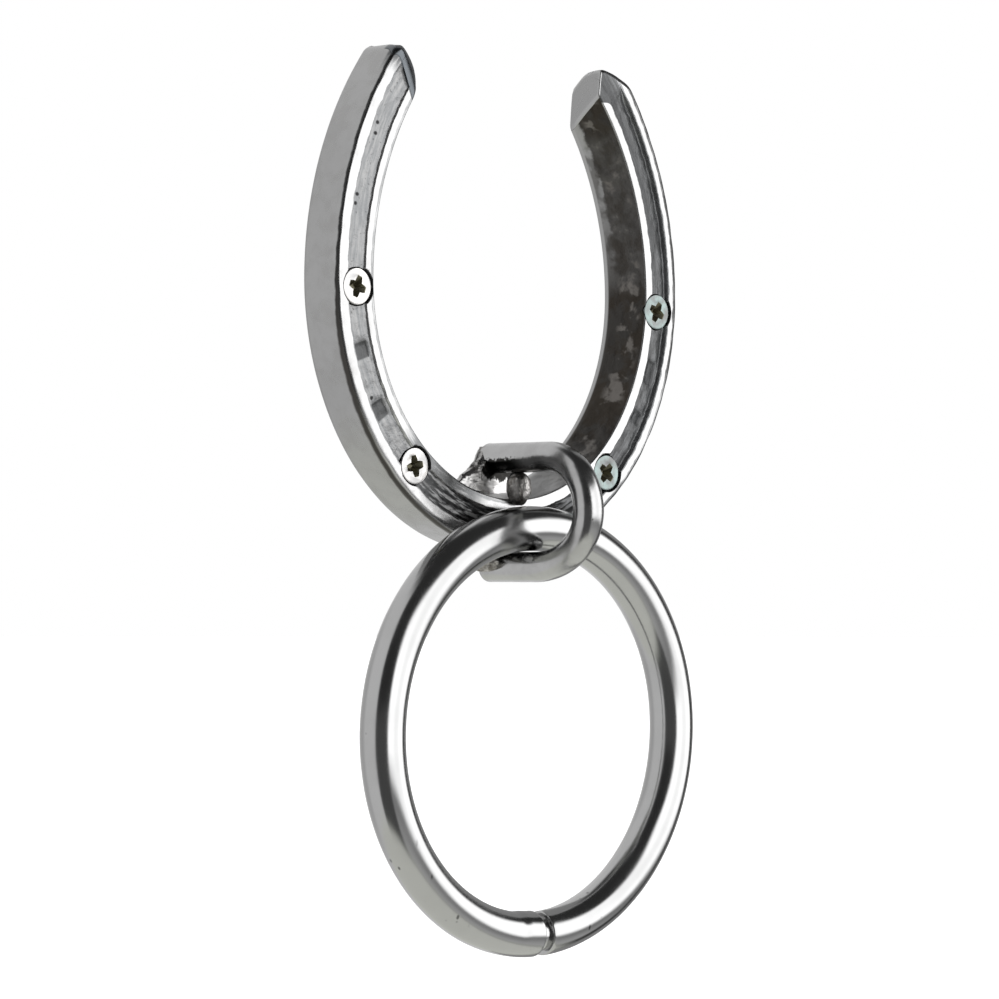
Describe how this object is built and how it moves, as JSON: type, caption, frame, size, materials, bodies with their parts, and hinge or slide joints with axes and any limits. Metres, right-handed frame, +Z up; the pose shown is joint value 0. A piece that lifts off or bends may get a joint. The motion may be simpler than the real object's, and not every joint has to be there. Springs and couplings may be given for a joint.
{
  "type": "horseshoe and ring puzzle",
  "caption": "Disentanglement puzzle: a heavy ring hangs in a U-shaped shackle welded to the toe of a grooved steel horseshoe fitted with countersunk cross-head screws.",
  "frame": {"origin": "middle of the toe's flat back face", "axes": "+Z up from the toe to the heels, -Y out of the grooved front, +X to the right seen from the front"},
  "size_m": [0.106, 0.0379, 0.2021],
  "materials": {
    "shoe_steel": "polished faces and rims, satin sides, pitted groove",
    "bar_steel": "satin to polished round bar",
    "weld_steel": "rough, ground and heat-tinted",
    "ring_chrome": "mirror polish with fine pits and scratches",
    "screw_zinc": "bright zinc, semi-gloss"
  },
  "bodies": {
    "shoe": {"horseshoe": "shoe_steel", "shackle": "bar_steel", "upper_rear_weld": "weld_steel", "upper_front_weld": "weld_steel", "lower_left_weld": "weld_steel", "lower_right_weld": "weld_steel"},
    "ring": {"ring": "ring_chrome", "ring_joint_pin": "bar_steel"},
    "screw_left_upper": {"screw_left_upper": "screw_zinc"},
    "screw_left_lower": {"screw_left_lower": "screw_zinc"},
    "screw_right_upper": {"screw_right_upper": "screw_zinc"},
    "screw_right_lower": {"screw_right_lower": "screw_zinc"}
  },
  "joints": [
    {"name": "ring_swing", "type": "hinge", "parent": "shoe", "child": "ring", "pos_m": [0, -0.017, -0.00035], "axis": [-1, 0, 0], "range_deg": [-5, 178]},
    {"name": "screw_left_upper_out", "type": "slide", "parent": "shoe", "child": "screw_left_upper", "axis": [0, 1, 0], "range_m": [-0.0095, 0]},
    {"name": "screw_left_lower_out", "type": "slide", "parent": "shoe", "child": "screw_left_lower", "axis": [0, 1, 0], "range_m": [-0.0095, 0]},
    {"name": "screw_right_upper_out", "type": "slide", "parent": "shoe", "child": "screw_right_upper", "axis": [0, 1, 0], "range_m": [-0.0095, 0]},
    {"name": "screw_right_lower_out", "type": "slide", "parent": "shoe", "child": "screw_right_lower", "axis": [0, 1, 0], "range_m": [-0.0095, 0]}
  ]
}
